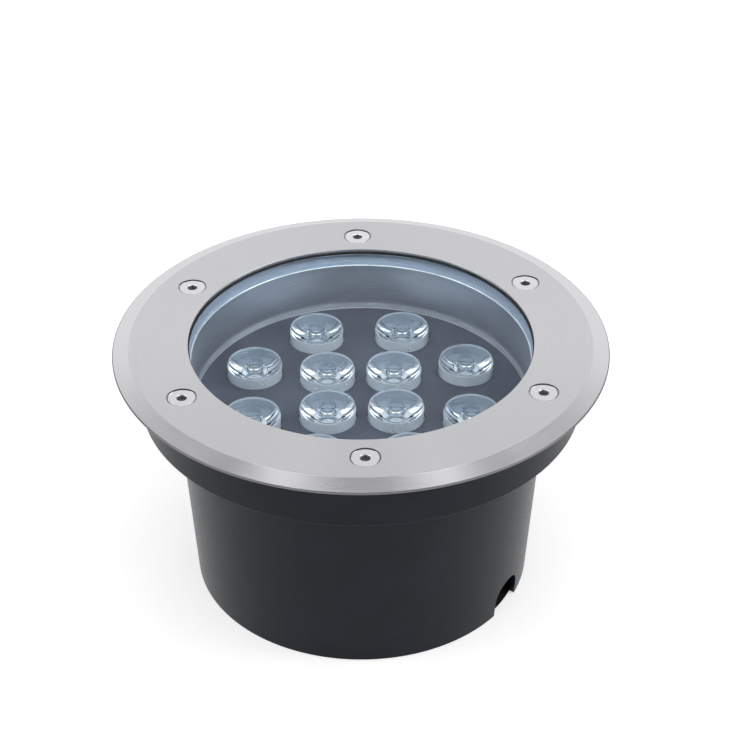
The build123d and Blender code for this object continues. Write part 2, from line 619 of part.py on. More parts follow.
def trim_ring():
    """Bevelled ring: a lip over the glass, a groove over the sleeve's rim, countersunk screw holes."""
    groove_inner = COLLAR_INNER - RING_GROOVE_CLEARANCE
    groove_outer = COLLAR_OUTER + RING_GROOVE_CLEARANCE
    ring = turned(
        (RING_OPENING, RING_TOP),
        (RING_FLAT, RING_TOP),
        (RING_RADIUS, RING_BOTTOM + RING_RIM_HEIGHT),
        (RING_RADIUS, RING_BOTTOM),
        (groove_outer, RING_BOTTOM),
        (groove_outer, COLLAR_TOP),
        (groove_inner, COLLAR_TOP),
        (groove_inner, RING_BOTTOM),
        (SEAT_RADIUS, RING_BOTTOM),
        (SEAT_RADIUS, LIP_BOTTOM),
        (RING_OPENING, LIP_BOTTOM),
    )
    for x, y in trim_screw_places():
        ring -= Pos(x, y, 0) * screw_sink()
        ring -= disc(SCREW_SHANK_RADIUS + SCREW_SEAT_GAP, RING_BOTTOM - PAST, RING_TOP, x, y)
    return ring


def front_glass():
    pane = disc(GLASS_RADIUS, GLASS_BOTTOM, GLASS_TOP)
    return chamfer(pane.edges().filter_by(GeomType.CIRCLE), GLASS_CHAMFER)


def upper_gasket():
    return washer(GASKET_OUTER, UPPER_GASKET_INNER, GLASS_TOP, LIP_BOTTOM)


def lower_gasket():
    return washer(GASKET_OUTER, LOWER_GASKET_INNER, BEZEL_TOP, GLASS_BOTTOM)


def trim_screw(x, y):
    """Countersunk screw with a hex socket, its head just below the ring's face."""
    cone_top = SCREW_TOP - SCREW_HEAD_RIM
    cone_bottom = cone_top - (SCREW_HEAD_RADIUS - SCREW_SHANK_RADIUS)
    screw = turned(
        (0, SCREW_TIP),
        (SCREW_SHANK_RADIUS - SCREW_POINT, SCREW_TIP),
        (SCREW_SHANK_RADIUS, SCREW_TIP + SCREW_POINT),
        (SCREW_SHANK_RADIUS, cone_bottom),
        (SCREW_HEAD_RADIUS, cone_top),
        (SCREW_HEAD_RADIUS, SCREW_TOP),
        (0, SCREW_TOP),
    )
    return Pos(x, y, 0) * (screw - hexagon(SOCKET_FLATS, SCREW_TOP - SOCKET_DEPTH, SCREW_TOP + PAST))


def all_parts():
    driver_screw_seat = EAR_BOTTOM + EAR_THICKNESS
    parts = {
        "sleeve": sleeve(),
        "lamp_body": lamp_body(),
        "inner_bezel": inner_bezel(),
        "face_plate": face_plate(),
        "led_board": led_board(),
        "board_screws": pan_screws(board_screw_places(), BOARD_TOP, BOARD_TOP - SPREADER_BOTTOM),
        "thermal_pad": thermal_pad(),
        "heat_spreader": heat_spreader(),
        "spreader_screws": pan_screws(spreader_screw_places(), SPREADER_TOP, PAN_SHANK_LENGTH),
        "led_emitters": Compound(children=[emitter(x, y) for x, y in optic_places()]),
        "driver_case": driver_case(),
        "driver_board": driver_board(),
        "driver_components": driver_components(),
        "driver_lid": driver_lid(),
        "driver_screws": pan_screws(driver_screw_places(), driver_screw_seat, PAN_SHANK_LENGTH),
        "lead_positive": lead(1),
        "lead_negative": lead(-1),
        "gland_body": gland_body(),
        "gland_washer": gland_washer(),
        "gland_seal": gland_seal(),
        "gland_nut": gland_nut(),
        "trim_ring": trim_ring(),
        "front_glass": front_glass(),
        "upper_gasket": upper_gasket(),
        "lower_gasket": lower_gasket(),
    }
    for number, (x, y) in enumerate(optic_places(), 1):
        parts[f"lens_{number:02d}"] = lens(x, y)
        parts[f"lens_holder_{number:02d}"] = lens_holder(x, y)
    for number, (x, y) in enumerate(trim_screw_places(), 1):
        parts[f"trim_screw_{number}"] = trim_screw(x, y)
    return parts


os.makedirs("parts", exist_ok=True)
for node, shape in all_parts().items():
    export_step(shape, f"parts/{node}.step")
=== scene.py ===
import json
import math

import bmesh
import bpy
from mathutils import Matrix, Vector


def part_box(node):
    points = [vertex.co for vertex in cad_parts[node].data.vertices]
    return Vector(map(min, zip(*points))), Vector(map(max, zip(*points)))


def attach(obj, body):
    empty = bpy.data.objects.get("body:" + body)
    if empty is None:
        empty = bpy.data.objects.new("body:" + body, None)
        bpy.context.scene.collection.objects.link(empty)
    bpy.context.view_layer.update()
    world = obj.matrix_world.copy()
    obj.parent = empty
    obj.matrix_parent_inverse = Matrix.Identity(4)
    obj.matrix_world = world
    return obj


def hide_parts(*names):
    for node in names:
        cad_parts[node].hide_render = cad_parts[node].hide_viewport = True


# Recessed ground light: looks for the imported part, in its own frame. Its lengths are written in millimetres.
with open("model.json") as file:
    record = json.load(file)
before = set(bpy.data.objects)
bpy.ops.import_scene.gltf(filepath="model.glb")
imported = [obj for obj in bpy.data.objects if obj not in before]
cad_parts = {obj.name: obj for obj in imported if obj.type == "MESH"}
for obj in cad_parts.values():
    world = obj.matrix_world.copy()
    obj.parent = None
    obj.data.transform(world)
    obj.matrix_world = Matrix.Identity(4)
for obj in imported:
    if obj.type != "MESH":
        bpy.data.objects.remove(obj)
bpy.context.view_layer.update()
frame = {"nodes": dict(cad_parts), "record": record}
BODY_OF = {node: body for body, nodes in frame["record"]["behaviour"]["bodies"].items() for node in nodes}
SLOT_OF = {part["node"]: part["material_slot"] for part in frame["record"]["subparts"]}
MM = 0.001
TINY = 1e-6
WHITE = (1.0, 1.0, 1.0, 1.0)


def box_mm(node):
    """Lowest and highest corners of a CAD node, in millimetres."""
    low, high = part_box(node)
    return low / MM, high / MM


# Noise in the surfaces: features per metre, streaks of brushing per radian, and the part of its range in use
BLOTCH_SCALE = 60.0
HAZE_SCALE = 180.0
BRUSH_STREAKS = 6.0
GRAIN_SPAN = (0.3, 0.7)
HAZE_SPAN = (0.35, 0.75)

# Shares of a surface's roughness between which the noise varies it
GRAINED_GLOSS = (0.85, 1.15)
BRUSHED_GLOSS = (0.85, 1.2)
CLEAR_HAZE = (0.5, 1.5)
FROSTED_HAZE = (0.8, 1.2)

# Fresnel factors of clear pieces: mirroring is thinned out up to the first, and full from the second on
FRESNEL_THINNED = 0.9
FRESNEL_FULL = 0.99

# Share of the lamps' light that passes a frosted piece
FROSTED_PASSES = 0.6


# Shader helpers
def new_material(name):
    material = bpy.data.materials.new(name)
    material.use_nodes = True
    tree = material.node_tree
    return material, tree, tree.nodes["Principled BSDF"]


def set_socket(tree, socket, value):
    """Links a socket value, and sets any other."""
    if isinstance(value, bpy.types.NodeSocket):
        tree.links.new(value, socket)
    else:
        socket.default_value = value


def add(tree, kind, **inputs):
    """A shader node with its sockets set by name, underscores for spaces."""
    node = tree.nodes.new("ShaderNode" + kind)
    for name, value in inputs.items():
        set_socket(tree, node.inputs[name.replace("_", " ")], value)
    return node


def maths(tree, operation, first, second):
    node = tree.nodes.new("ShaderNodeMath")
    node.operation = operation
    for socket, value in zip(node.inputs, (first, second)):
        set_socket(tree, socket, value)
    return node.outputs[0]


def ramp(tree, factor, *stops):
    """A colour ramp through (position, colour) stops; a grey may be one number."""
    node = add(tree, "ValToRGB", Fac=factor)
    elements = node.color_ramp.elements
    while len(elements) < len(stops):
        elements.new(0.5)
    for element, (position, colour) in zip(elements, stops):
        element.position = position
        element.color = (*colour, 1.0) if isinstance(colour, tuple) else (colour, colour, colour, 1.0)
    return node.outputs["Color"]


def blend(tree, factor, first, second):
    """First colour or number where the factor is 0, second where it is 1."""
    node = tree.nodes.new("ShaderNodeMix")
    node.data_type = "RGBA"
    for socket, value in zip((node.inputs[0], node.inputs[6], node.inputs[7]), (factor, first, second)):
        tree.links.new(value, socket)
    return node.outputs[2]


def mix_shaders(tree, factor, first, second):
    node = add(tree, "MixShader", Fac=factor)
    tree.links.new(first, node.inputs[1])
    tree.links.new(second, node.inputs[2])
    return node.outputs["Shader"]


def shade(value, factor):
    """A colour or number times a factor, 1 at most."""
    if isinstance(value, tuple):
        return tuple(min(1.0, channel * factor) for channel in value)
    return min(1.0, value * factor)


def varied(tree, factor, span, value, shares):
    """Runs from one share of a colour or number to another over a span of the factor."""
    return ramp(tree, factor, (span[0], shade(value, shares[0])), (span[1], shade(value, shares[1])))


def noise(tree, scale, detail=3.0, vector=None):
    """Fine noise in the object's own space, its scale in features per metre."""
    if vector is None:
        vector = tree.nodes.new("ShaderNodeTexCoord").outputs["Object"]
    return add(tree, "TexNoise", Vector=vector, Scale=scale, Detail=detail).outputs["Fac"]


def around_axis(tree):
    """X, Y, distance from the Z axis and Z, in the object's own space."""
    place = tree.nodes.new("ShaderNodeTexCoord").outputs["Object"]
    x, y, z = add(tree, "SeparateXYZ", Vector=place).outputs
    squares = maths(tree, "ADD", maths(tree, "MULTIPLY", x, x), maths(tree, "MULTIPLY", y, y))
    return x, y, maths(tree, "POWER", squares, 0.5), z


def polar_grain(tree, lines_per_mm):
    """Noise drawn out along circles round the object's Z axis, as turning and circular brushing leave it."""
    x, y, across, z = around_axis(tree)
    safe = maths(tree, "MAXIMUM", across, TINY)
    slope = maths(tree, "SUBTRACT", across, z)
    vector = add(
        tree, "CombineXYZ",
        X=maths(tree, "MULTIPLY", slope, lines_per_mm / MM),
        Y=maths(tree, "MULTIPLY", maths(tree, "DIVIDE", x, safe), BRUSH_STREAKS),
        Z=maths(tree, "MULTIPLY", maths(tree, "DIVIDE", y, safe), BRUSH_STREAKS),
    )
    return noise(tree, 1.0, detail=4.0, vector=vector.outputs["Vector"])


def bump(tree, shader, height, depth_mm):
    node = add(tree, "Bump", Height=height, Distance=depth_mm * MM, Strength=1.0)
    tree.links.new(node.outputs["Normal"], shader.inputs["Normal"])


def put(shader, **values):
    for name, value in values.items():
        shader.inputs[name.replace("_", " ")].default_value = value


def grained(name, colour, roughness, grain_scale, grain_depth, spread=0.2, **values):
    """Moulded, cast, painted or rubber surface: soft blotches of colour, gloss that varies, a fine grain."""
    material, tree, shader = new_material(name)
    put(shader, **values)
    blotches = noise(tree, BLOTCH_SCALE)
    grain = noise(tree, grain_scale, detail=2.0)
    tint = varied(tree, blotches, GRAIN_SPAN, colour, (1 - spread, 1 + spread))
    tree.links.new(tint, shader.inputs["Base Color"])
    gloss = varied(tree, grain, GRAIN_SPAN, roughness, GRAINED_GLOSS)
    tree.links.new(gloss, shader.inputs["Roughness"])
    bump(tree, shader, grain, grain_depth)
    return material


def above(height):
    """Zone of a turned piece: all that lies over a height in mm."""
    return lambda tree, across, z: maths(tree, "GREATER_THAN", z, height * MM)


def below(height):
    """Zone of a turned piece: all that lies under a height in mm."""
    return lambda tree, across, z: maths(tree, "LESS_THAN", z, height * MM)


def recess(radius, height):
    """Zone of a turned piece: within a radius in mm and below a height."""
    def inside(tree, across, z):
        near = maths(tree, "LESS_THAN", across, radius * MM)
        return maths(tree, "MULTIPLY", near, maths(tree, "LESS_THAN", z, height * MM))
    return inside


def turned_metal(name, finish, lines_per_mm, anisotropy, groove_depth, spread=0.1, zones=()):
    """Metal with circular brushing round its axis.

    A finish is (colour, roughness). Zones are (zone, finish) pairs, which here paint highlights or shade onto
    the metal besides any change of roughness, and a later one lies over the others.
    """
    material, tree, shader = new_material(name)
    put(shader, Metallic=1.0, Anisotropic=anisotropy, Anisotropic_Rotation=0.25)
    across, z = around_axis(tree)[2:]
    lines = polar_grain(tree, lines_per_mm)

    def brushed(colour, roughness):
        tint = varied(tree, lines, GRAIN_SPAN, colour, (1 - spread, 1 + spread))
        return tint, varied(tree, lines, GRAIN_SPAN, roughness, BRUSHED_GLOSS)

    tint, gloss = brushed(*finish)
    for zone, zone_finish in zones:
        factor = zone(tree, across, z)
        zone_tint, zone_gloss = brushed(*zone_finish)
        tint = blend(tree, factor, tint, zone_tint)
        gloss = blend(tree, factor, gloss, zone_gloss)
    tree.links.new(tint, shader.inputs["Base Color"])
    tree.links.new(gloss, shader.inputs["Roughness"])
    tangent = tree.nodes.new("ShaderNodeTangent")
    tangent.direction_type = "RADIAL"
    tangent.axis = "Z"
    tree.links.new(tangent.outputs["Tangent"], shader.inputs["Tangent"])
    bump(tree, shader, lines, groove_depth)
    return material


def let_lamps_through(tree, surface, colour):
    """The surface, but clear to rays from lamps, so that they light what lies behind it."""
    passing = add(tree, "BsdfTransparent", Color=(*colour, 1.0))
    path = tree.nodes.new("ShaderNodeLightPath")
    mix = mix_shaders(tree, path.outputs["Is Shadow Ray"], surface, passing.outputs["BSDF"])
    tree.links.new(mix, tree.nodes["Material Output"].inputs["Surface"])


def clear(name, colour, roughness, ior, mirror):
    """Clear glass or plastic with faint haze, which mirrors only a share of what plain glass would.

    Light inside it that can't leave because of its slant is mirrored in full.
    """
    material, tree, shader = new_material(name)
    tree.nodes.remove(shader)
    haze = varied(tree, noise(tree, HAZE_SCALE), HAZE_SPAN, roughness, CLEAR_HAZE)
    bent = add(tree, "BsdfRefraction", Color=(*colour, 1.0), Roughness=haze, IOR=ior)
    mirrored = add(tree, "BsdfAnisotropic", Color=WHITE, Roughness=haze)
    fresnel = add(tree, "Fresnel", IOR=ior).outputs["Fac"]
    thinned = (FRESNEL_THINNED, FRESNEL_THINNED * mirror)
    share = ramp(tree, fresnel, (0.0, 0.0), thinned, (FRESNEL_FULL, 1.0))
    both = mix_shaders(tree, share, bent.outputs["BSDF"], mirrored.outputs["BSDF"])
    let_lamps_through(tree, both, colour)
    return material


def frosted(name, colour, roughness, ior, transmission):
    """Milky plastic that passes some light."""
    material, tree, shader = new_material(name)
    put(shader, Base_Color=(*colour, 1.0), IOR=ior, Transmission_Weight=transmission)
    haze = varied(tree, noise(tree, HAZE_SCALE), HAZE_SPAN, roughness, FROSTED_HAZE)
    tree.links.new(haze, shader.inputs["Roughness"])
    let_lamps_through(tree, shader.outputs["BSDF"], shade(colour, FROSTED_PASSES))
    return material


# Zones of the turned pieces that are painted lighter or darker, in millimetres: the bezel's polished lip,
# lightened as a painted highlight, painted highlight bands over its foot and painted shade in its cove,
# painted shade on the ring's underside and in the screws' sockets
BEZEL_LIP_HIGHLIGHT = 0.45
BEZEL_PALE_HIGHLIGHT_BAND = 3.0
BEZEL_BRIGHT_HIGHLIGHT_BAND = 2.2
BEZEL_COVE_SHADE_BAND = 0.6
RING_UNDERSIDE_SHADE = 0.8
SOCKET_SHADE_RADIUS = 2.3
SOCKET_SHADE_SINK = 0.1

bezel_bottom, bezel_top = (corner.z for corner in box_mm("inner_bezel"))
ring_bottom = box_mm("trim_ring")[0].z
screw_top = box_mm("trim_screw_1")[1].z

MATERIALS = {
    "sleeve_plastic": grained(
        "sleeve_plastic", (0.005, 0.009, 0.015), 0.32, 1600.0, 0.01, Specular_IOR_Level=0.17
    ),
    "cast_body": grained("cast_body", (0.022, 0.023, 0.026), 0.5, 1100.0, 0.06),
    "satin_bezel": turned_metal(
        "satin_bezel", ((0.6, 0.65, 0.73), 0.42), 4.0, 0.3, 0.004, zones=[
            # Polished rolled lip: smoother, and its colour lightened as a painted highlight
            (above(bezel_top - BEZEL_LIP_HIGHLIGHT), ((0.84, 0.9, 0.96), 0.26)),
            # Painted highlight: two lighter bands over the bezel's foot
            (below(bezel_bottom + BEZEL_PALE_HIGHLIGHT_BAND), ((0.68, 0.73, 0.8), 0.5)),
            (below(bezel_bottom + BEZEL_BRIGHT_HIGHLIGHT_BAND), ((0.8, 0.85, 0.91), 0.6)),
            # Painted shade: a darker band in the cove at the bezel's foot
            (below(bezel_bottom + BEZEL_COVE_SHADE_BAND), ((0.4, 0.43, 0.475), 0.6)),
        ],
    ),
    "slate_plate": grained(
        "slate_plate", (0.07, 0.081, 0.112), 0.45, 2200.0, 0.01, Specular_IOR_Level=0.2
    ),
    "board_mask": grained("board_mask", (0.82, 0.83, 0.83), 0.35, 900.0, 0.005, 0.04),
    "plated_screw": turned_metal("plated_screw", ((0.6, 0.6, 0.58), 0.3), 6.0, 0.3, 0.004),
    "pad_grey": grained("pad_grey", (0.4, 0.41, 0.43), 0.7, 1500.0, 0.01),
    "mill_aluminium": turned_metal("mill_aluminium", ((0.66, 0.67, 0.69), 0.35), 2.0, 0.4, 0.006),
    "emitter_phosphor": grained("emitter_phosphor", (0.84, 0.84, 0.79), 0.3, 3000.0, 0.004),
    "driver_plastic": grained("driver_plastic", (0.7, 0.7, 0.67), 0.45, 1500.0, 0.02, 0.06),
    "circuit_green": grained("circuit_green", (0.03, 0.17, 0.07), 0.35, 700.0, 0.01),
    "component_black": grained("component_black", (0.03, 0.03, 0.032), 0.4, 1500.0, 0.02),
    "lead_red": grained("lead_red", (0.45, 0.02, 0.02), 0.45, 2000.0, 0.01),
    "lead_black": grained("lead_black", (0.02, 0.02, 0.02), 0.45, 2000.0, 0.01),
    "gland_nylon": grained("gland_nylon", (0.022, 0.022, 0.024), 0.42, 1800.0, 0.02),
    "black_rubber": grained("black_rubber", (0.012, 0.013, 0.015), 0.65, 2000.0, 0.02),
    "brushed_stainless": turned_metal(
        "brushed_stainless", ((0.685, 0.685, 0.71), 0.22), 5.0, 0.85, 0.0005, 0.03,
        # Painted shade: the ring's underside and the lowest part of its rim are darker
        zones=[(below(ring_bottom + RING_UNDERSIDE_SHADE), ((0.2, 0.2, 0.21), 0.45))],
    ),
    "clear_glass": clear("clear_glass", (0.97, 0.985, 0.99), 0.01, 1.5, 0.2),
    "pale_silicone": grained("pale_silicone", (0.54, 0.68, 0.88), 0.4, 800.0, 0.01, 0.06),
    "lens_clear": clear("lens_clear", (0.925, 0.96, 1.0), 0.02, 1.49, 0.5),
    "holder_clear": frosted("holder_clear", (0.89, 0.945, 1.0), 0.25, 1.45, 0.5),
    "stainless_screw": turned_metal(
        "stainless_screw", ((0.82, 0.82, 0.84), 0.2), 9.0, 0.4, 0.002,
        # Painted shade inside each screw's hex socket
        zones=[(recess(SOCKET_SHADE_RADIUS, screw_top - SOCKET_SHADE_SINK), ((0.3, 0.3, 0.31), 0.5))],
    ),
}

# Fineness of the meshes: steps of rounded edges and of curves, segments of turned pieces, the smoothing limit
ARC_STEPS = 8
CURVE_STEPS = 12
RING_SEGMENTS = 288
WIDE_SEGMENTS = 256
LENS_SEGMENTS = 96
SMALL_SEGMENTS = 64
MOUTH_SEGMENTS = 48
SHARP_ANGLE = math.radians(32.0)


# Mesh helpers
def rounded(outline):
    """A closed (radius, height, round) outline with an arc at every corner that has a round."""
    points = []
    count = len(outline)
    for k, (r, z, radius) in enumerate(outline):
        corner = Vector((r, z))
        if not radius:
            points.append(corner)
            continue
        before = (Vector(outline[k - 1][:2]) - corner).normalized()
        after = (Vector(outline[(k + 1) % count][:2]) - corner).normalized()
        half = before.angle(after) / 2
        reach = radius / math.tan(half)
        centre = corner + (before + after).normalized() * radius / math.sin(half)
        start = corner + before * reach - centre
        turn = start.angle_signed(corner + after * reach - centre)
        points += [centre + Matrix.Rotation(-turn * s / ARC_STEPS, 2) @ start for s in range(ARC_STEPS + 1)]
    return points


def lathe(outline, segments):
    """Mesh turned about Z from a closed outline of (radius, height, round) corners in millimetres."""
    mesh = bmesh.new()
    rings = []
    for r, z in rounded(outline):
        if r < TINY:
            rings.append([mesh.verts.new((0, 0, z * MM))])
            continue
        angles = [2 * math.pi * k / segments for k in range(segments)]
        rings.append([mesh.verts.new((r * MM * math.cos(a), r * MM * math.sin(a), z * MM)) for a in angles])
    for ring, following in zip(rings, rings[1:] + rings[:1]):
        for k in range(segments):
            if len(ring) == 1 and len(following) == 1:
                break
            corners = [ring[k % len(ring)], ring[(k + 1) % len(ring)]]
            corners += [following[(k + 1) % len(following)], following[k % len(following)]]
            mesh.faces.new(list(dict.fromkeys(corners)))
    bmesh.ops.recalc_face_normals(mesh, faces=mesh.faces)
    return mesh


def bar_mesh(first_end, second_end):
    """Mesh of a straight bar between two like outlines of points in millimetres."""
    mesh = bmesh.new()
    rows = []
    for end in (first_end, second_end):
        rows.append([mesh.verts.new([value * MM for value in point]) for point in end])
    mesh.faces.new(rows[0])
    mesh.faces.new(rows[1])
    for k in range(len(first_end)):
        after = (k + 1) % len(first_end)
        mesh.faces.new((rows[0][k], rows[0][after], rows[1][after], rows[1][k]))
    bmesh.ops.recalc_face_normals(mesh, faces=mesh.faces)
    return mesh


def smooth(data):
    data.shade_smooth()
    data.set_sharp_from_angle(angle=SHARP_ANGLE)


def finish_mesh(name, mesh):
    data = bpy.data.meshes.new(name)
    mesh.to_mesh(data)
    mesh.free()
    smooth(data)
    return bpy.data.objects.new(name, data)


def carve(piece, cutters):
    """Cuts the cutter objects out of the piece and removes them."""
    bpy.context.scene.collection.objects.link(piece)
    for cutter in cutters:
        bpy.context.scene.collection.objects.link(cutter)
        cut = piece.modifiers.new("cut", "BOOLEAN")
        cut.operation = "DIFFERENCE"
        cut.solver = "EXACT"
        cut.object = cutter
    bpy.context.view_layer.update()
    carved = bpy.data.meshes.new_from_object(piece.evaluated_get(bpy.context.evaluated_depsgraph_get()))
    piece.modifiers.clear()
    piece.data = carved
    smooth(carved)
    for cutter in cutters:
        bpy.data.objects.remove(cutter)


def show(piece, *nodes):
    """Puts a piece in the scene in place of CAD nodes, on their body and in their finish."""
    if piece.name not in bpy.context.scene.objects:
        bpy.context.scene.collection.objects.link(piece)
    normals = piece.modifiers.new("normals", "WEIGHTED_NORMAL")
    normals.keep_sharp = True
    piece.data.materials.clear()
    piece.data.materials.append(MATERIALS[SLOT_OF[nodes[0]]])
    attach(piece, BODY_OF[nodes[0]])
    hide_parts(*nodes)


# Every CAD node takes its slot's material
for node, thing in frame["nodes"].items():
    thing.data.materials.clear()
    thing.data.materials.append(MATERIALS[SLOT_OF[node]])

# Sizes repeated from the part, in millimetres; a pair is inside and outside
RING_OPENING = 62.707
RING_FLAT = 84.007
RING_RIM_HEIGHT = 0.7
RING_LIP = 1.2
SEAT_RADIUS = 67.207
GROOVE = (78.507, 81.107)
GROOVE_DEPTH = 0.5
SCREW_CIRCLE = 72.707
SCREW_COUNT = 6
SCREW_HEAD_RADIUS = 4.8
SCREW_HEAD_RIM = 0.2
SCREW_SHANK_RADIUS = 2.5
SCREW_POINT = 0.6
SOCKET_FLATS = 3.2
SOCKET_DEPTH = 1.8
SLEEVE_FOOT = (61.36, 63.49)
SLEEVE_WALL = (66.307, 68.307)
COLLAR_INNER = 78.807
COLLAR_BOTTOM = 75.95
COLLAR_FLOOR = 77.95
NOTCH_WIDTH = 15.6
NOTCH_HEIGHT = 12.9
NOTCH_ROUND = 7.0
NOTCH_FLARE = 0.8
NOTCH_TURN = math.radians(-3.0)
BEZEL_INNER = 61.707
BEZEL_OUTER = 62.307
BEZEL_WALL = 0.6
BEZEL_COVE = 0.5
BEZEL_FOOT = 0.1
BEZEL_EDGE_ROUND = 0.45
GLASS_CHAMFER = 0.6
LENS_COUNT = 12
LENS_NECK = 0.5
LENS_WELL_RADIUS = 3.2
LENS_WELL_FOOT_RADIUS = 2.6
LENS_WELL_DEPTH = 1.6
LENS_EDGE_ROUND = 0.4
LENS_STEM_RADIUS = 4.0
LENS_STEM_HEIGHT = 2.9
LENS_SIDE_BULGE = 0.3
LENS_POCKET_RADIUS = 3.4
LENS_POCKET_TOP_RADIUS = 2.8
LENS_POCKET_DEPTH = 4.2
LENS_POCKET_DOME = 0.8

# Sizes of the scene's own, mostly of softened edges, in millimetres; a pair is inside and outside
RING_OPENING_ROUND = 0.2
RING_SHOULDER_ROUND = 1.5
RING_RIM_ROUND = 0.25
RING_FOOT_ROUND = 0.15
RING_LIP_ROUND = 0.1
SCREW_SEAT_RADIUS = 5.35
SCREW_SEAT_DEPTH = 0.7
SCREW_HOLE_GAP = 0.15
SCREW_EDGE_ROUND = 0.15
SOCKET_MOUTH_DEPTH = 0.35
SOCKET_MOUTH_RISE = 0.15
SLEEVE_FOOT_ROUND = (0.3, 0.35)
SLEEVE_WALL_ROUND = (0.4, 0.9)
COLLAR_TOP_ROUND = (0.3, 0.5)
COLLAR_FLOOR_ROUND = 0.5
COLLAR_BOTTOM_ROUND = 0.4
SLEEVE_EASE = 0.25
SLEEVE_EASE_SEGMENTS = 2
SLEEVE_EASE_ANGLE = math.radians(50.0)
BEZEL_FLANGE_ROUND = 0.1
GLASS_ROUND = 0.1
LENS_WELL_ROUND = 0.15
LENS_WELL_FOOT_ROUND = 0.1
LENS_POCKET_BOW = 0.2

# How far cutters run past the faces they cut, and where the notch's cutter starts and ends, in millimetres
PAST = 1.0
NOTCH_REACH = (50.0, 75.0)


def trim_ring():
    """Brushed ring: broken edges, a soft shoulder where the bevel starts, straight-mouthed screw seats."""
    low, high = box_mm("trim_ring")
    top, bottom, outer = high.z, low.z, high.y
    ring = finish_mesh("trim_ring_brushed", lathe([
        (RING_OPENING, top, RING_OPENING_ROUND),
        (RING_FLAT, top, RING_SHOULDER_ROUND),
        (outer, bottom + RING_RIM_HEIGHT, RING_RIM_ROUND),
        (outer, bottom, RING_FOOT_ROUND),
        (GROOVE[1], bottom, 0),
        (GROOVE[1], bottom + GROOVE_DEPTH, 0),
        (GROOVE[0], bottom + GROOVE_DEPTH, 0),
        (GROOVE[0], bottom, 0),
        (SEAT_RADIUS, bottom, 0),
        (SEAT_RADIUS, top - RING_LIP, 0),
        (RING_OPENING, top - RING_LIP, RING_LIP_ROUND),
    ], RING_SEGMENTS))
    seat_foot = top - SCREW_SEAT_DEPTH
    hole = SCREW_SHANK_RADIUS + SCREW_HOLE_GAP
    cutters = []
    for k in range(SCREW_COUNT):
        angle = 2 * math.pi * k / SCREW_COUNT
        cutter = finish_mesh("screw_seat", lathe([
            (0, bottom - PAST, 0),
            (hole, bottom - PAST, 0),
            (hole, seat_foot - (SCREW_SEAT_RADIUS - hole), 0),
            (SCREW_SEAT_RADIUS, seat_foot, 0),
            (SCREW_SEAT_RADIUS, top + PAST, 0),
            (0, top + PAST, 0),
        ], SMALL_SEGMENTS))
        cutter.location = Vector((math.cos(angle), math.sin(angle), 0)) * SCREW_CIRCLE * MM
        cutters.append(cutter)
    carve(ring, cutters)
    show(ring, "trim_ring")


def socket_cutter(top):
    """A hexagonal bar down into a screw's head."""
    corner = SOCKET_FLATS / math.sqrt(3)
    turns = [math.radians(60 * k) for k in range(6)]
    hexagon = [(corner * math.cos(a), corner * math.sin(a)) for a in turns]
    ends = [[(x, y, height) for x, y in hexagon] for height in (top - SOCKET_DEPTH, top + PAST)]
    return finish_mesh("socket", bar_mesh(*ends))


def trim_screw(number):
    """Countersunk screw: a rounded head edge and a hex socket with a broken mouth."""
    node = f"trim_screw_{number}"
    low, high = box_mm(node)
    top, tip = high.z, low.z
    cone_top = top - SCREW_HEAD_RIM
    screw = finish_mesh(f"screw_{number}_turned", lathe([
        (0, tip, 0),
        (SCREW_SHANK_RADIUS - SCREW_POINT, tip, 0),
        (SCREW_SHANK_RADIUS, tip + SCREW_POINT, 0),
        (SCREW_SHANK_RADIUS, cone_top - (SCREW_HEAD_RADIUS - SCREW_SHANK_RADIUS), 0),
        (SCREW_HEAD_RADIUS, cone_top, 0),
        (SCREW_HEAD_RADIUS, top, SCREW_EDGE_ROUND),
        (0, top, 0),
    ], SMALL_SEGMENTS))
    mouth_foot = top - SOCKET_MOUTH_DEPTH
    mouth_top = top + SOCKET_MOUTH_RISE
    mouth = finish_mesh("socket_mouth", lathe([
        (0, mouth_foot, 0),
        (SOCKET_FLATS / 2, mouth_foot, 0),
        (SOCKET_FLATS / 2 + SOCKET_MOUTH_DEPTH + SOCKET_MOUTH_RISE, mouth_top, 0),
        (0, mouth_top, 0),
    ], MOUTH_SEGMENTS))
    carve(screw, [socket_cutter(top), mouth])
    screw.location = ((low + high) / 2).xy.to_3d() * MM
    show(screw, node)


def quarter(centre_y, centre_z, radius, first, last):
    """Points of an arc from one angle to another, in degrees, as (y, z)."""
    angles = [math.radians(first + (last - first) * k / CURVE_STEPS) for k in range(CURVE_STEPS + 1)]
    return [(centre_y + radius * math.cos(a), centre_z + radius * math.sin(a)) for a in angles]


def notch_cutter():
    """An arched bar out through the sleeve's wall, flared where it meets the bottom rim."""
    half = NOTCH_WIDTH / 2
    flare = quarter(half + NOTCH_FLARE, NOTCH_FLARE, NOTCH_FLARE, -90, -180)
    arch = quarter(half - NOTCH_ROUND, NOTCH_HEIGHT - NOTCH_ROUND, NOTCH_ROUND, 0, 90)
    right_side = [(half + NOTCH_FLARE, -PAST)] + flare + arch
    outline = right_side + [(-y, z) for y, z in reversed(right_side)]
    ends = [[(x, y, z) for y, z in outline] for x in NOTCH_REACH]
    cutter = finish_mesh("notch", bar_mesh(*ends))
    cutter.rotation_euler.z = NOTCH_TURN
    return cutter


